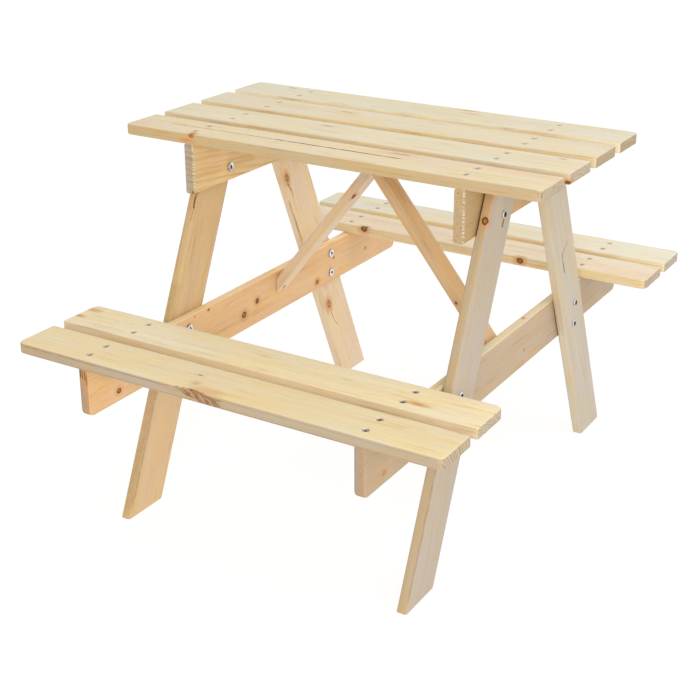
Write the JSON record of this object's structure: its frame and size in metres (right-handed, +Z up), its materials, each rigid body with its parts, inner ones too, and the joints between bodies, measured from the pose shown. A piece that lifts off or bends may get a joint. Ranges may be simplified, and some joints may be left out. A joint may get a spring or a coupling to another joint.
{
  "type": "kids picnic table",
  "caption": "Child-size pine picnic table: slatted top and attached slatted benches on splayed A-frame legs, tied by seat rails and diagonal braces.",
  "frame": {"origin": "on the floor, midway between the feet (bottom centre of the bounding box)", "axes": "+Z up, X along the boards, Y from the front bench to the rear bench"},
  "size_m": [0.645, 0.818, 0.532],
  "materials": {
    "pine_top": "planed, unfinished",
    "pine_frame": "planed, unfinished",
    "pine_leg": "planed, unfinished",
    "zinc": "zinc plated"
  },
  "bodies": {
    "root": {"bench_board_front_inner": "pine_top", "bench_board_front_outer": "pine_top", "bench_board_rear_inner": "pine_top", "bench_board_rear_outer": "pine_top", "bolt_rail_lower_front_left": "zinc", "bolt_rail_lower_front_right": "zinc", "bolt_rail_lower_rear_left": "zinc", "bolt_rail_lower_rear_right": "zinc", "bolt_rail_upper_front_left": "zinc", "bolt_rail_upper_front_right": "zinc", "bolt_rail_upper_rear_left": "zinc", "bolt_rail_upper_rear_right": "zinc", "bolt_top_front_left": "zinc", "bolt_top_front_right": "zinc", "bolt_top_rear_left": "zinc", "bolt_top_rear_right": "zinc", "brace_left": "pine_frame", "brace_right": "pine_frame", "brace_screw_foot_left": "zinc", "brace_screw_foot_right": "zinc", "brace_screw_top_left": "zinc", "brace_screw_top_right": "zinc", "leg_front_left": "pine_leg", "leg_front_right": "pine_leg", "leg_rear_left": "pine_leg", "leg_rear_right": "pine_leg", "seat_rail_left": "pine_frame", "seat_rail_right": "pine_frame", "sleeve_nut_rail_lower_front_left": "zinc", "sleeve_nut_rail_lower_front_right": "zinc", "sleeve_nut_rail_lower_rear_left": "zinc", "sleeve_nut_rail_lower_rear_right": "zinc", "sleeve_nut_rail_upper_front_left": "zinc", "sleeve_nut_rail_upper_front_right": "zinc", "sleeve_nut_rail_upper_rear_left": "zinc", "sleeve_nut_rail_upper_rear_right": "zinc", "sleeve_nut_top_front_left": "zinc", "sleeve_nut_top_front_right": "zinc", "sleeve_nut_top_rear_left": "zinc", "sleeve_nut_top_rear_right": "zinc", "tabletop_board_1": "pine_top", "tabletop_board_2": "pine_top", "tabletop_board_3": "pine_top", "tabletop_board_4": "pine_top", "top_batten_left": "pine_frame", "top_batten_right": "pine_frame"}
  },
  "joints": []
}
